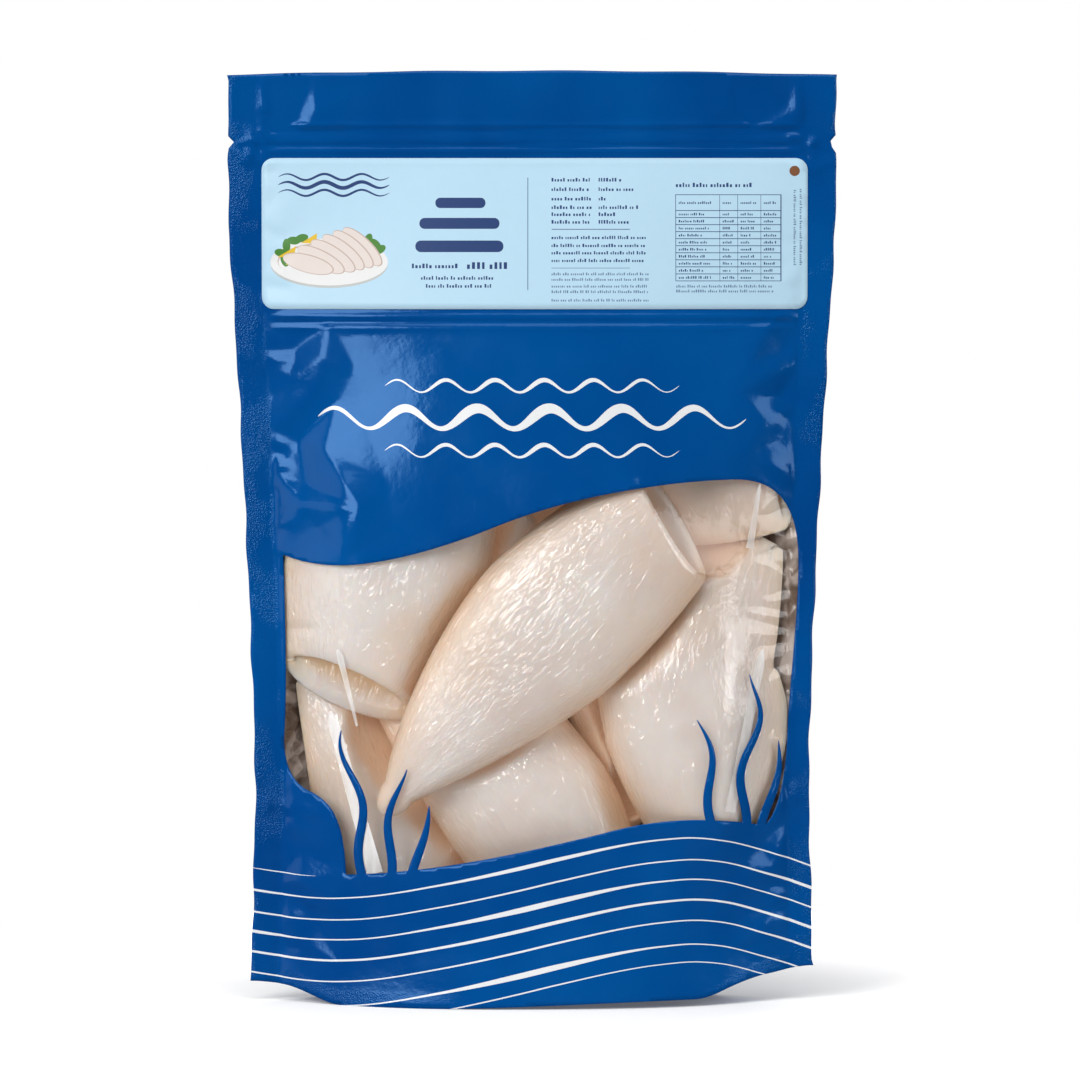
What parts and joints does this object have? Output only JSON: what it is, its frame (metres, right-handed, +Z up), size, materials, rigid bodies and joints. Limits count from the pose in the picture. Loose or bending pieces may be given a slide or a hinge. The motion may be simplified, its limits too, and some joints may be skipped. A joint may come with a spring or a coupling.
{
  "type": "stand-up pouch of squid tubes",
  "caption": "Blue stand-up zip pouch with a clear wave-shaped window in front, a paper label across its header, and cleaned squid tubes inside.",
  "frame": {"origin": "on the floor, under the middle of the pouch's footprint", "axes": "+Z up, front with the window and label faces -Y, +X is to the right as seen from the front"},
  "size_m": [0.1996, 0.0579, 0.3055],
  "materials": {
    "printed_film": "glossy laminated film, printed deep blue with white wave stripes",
    "clear_film": "clear crinkled film",
    "label_paper": "smooth coated paper, light blue with dark blue and grey print",
    "squid_flesh": "wet, slightly see-through pale flesh"
  },
  "bodies": {
    "root": {"pouch": "printed_film", "window_film": "clear_film", "label": "label_paper", "squid_tube_centre": "squid_flesh", "squid_tube_upper_left": "squid_flesh", "squid_tube_upper_right": "squid_flesh", "squid_tube_right": "squid_flesh", "squid_tube_lower_middle": "squid_flesh", "squid_tube_lower_left": "squid_flesh", "squid_tube_back_upper": "squid_flesh", "squid_tube_back_lower": "squid_flesh"}
  },
  "joints": []
}
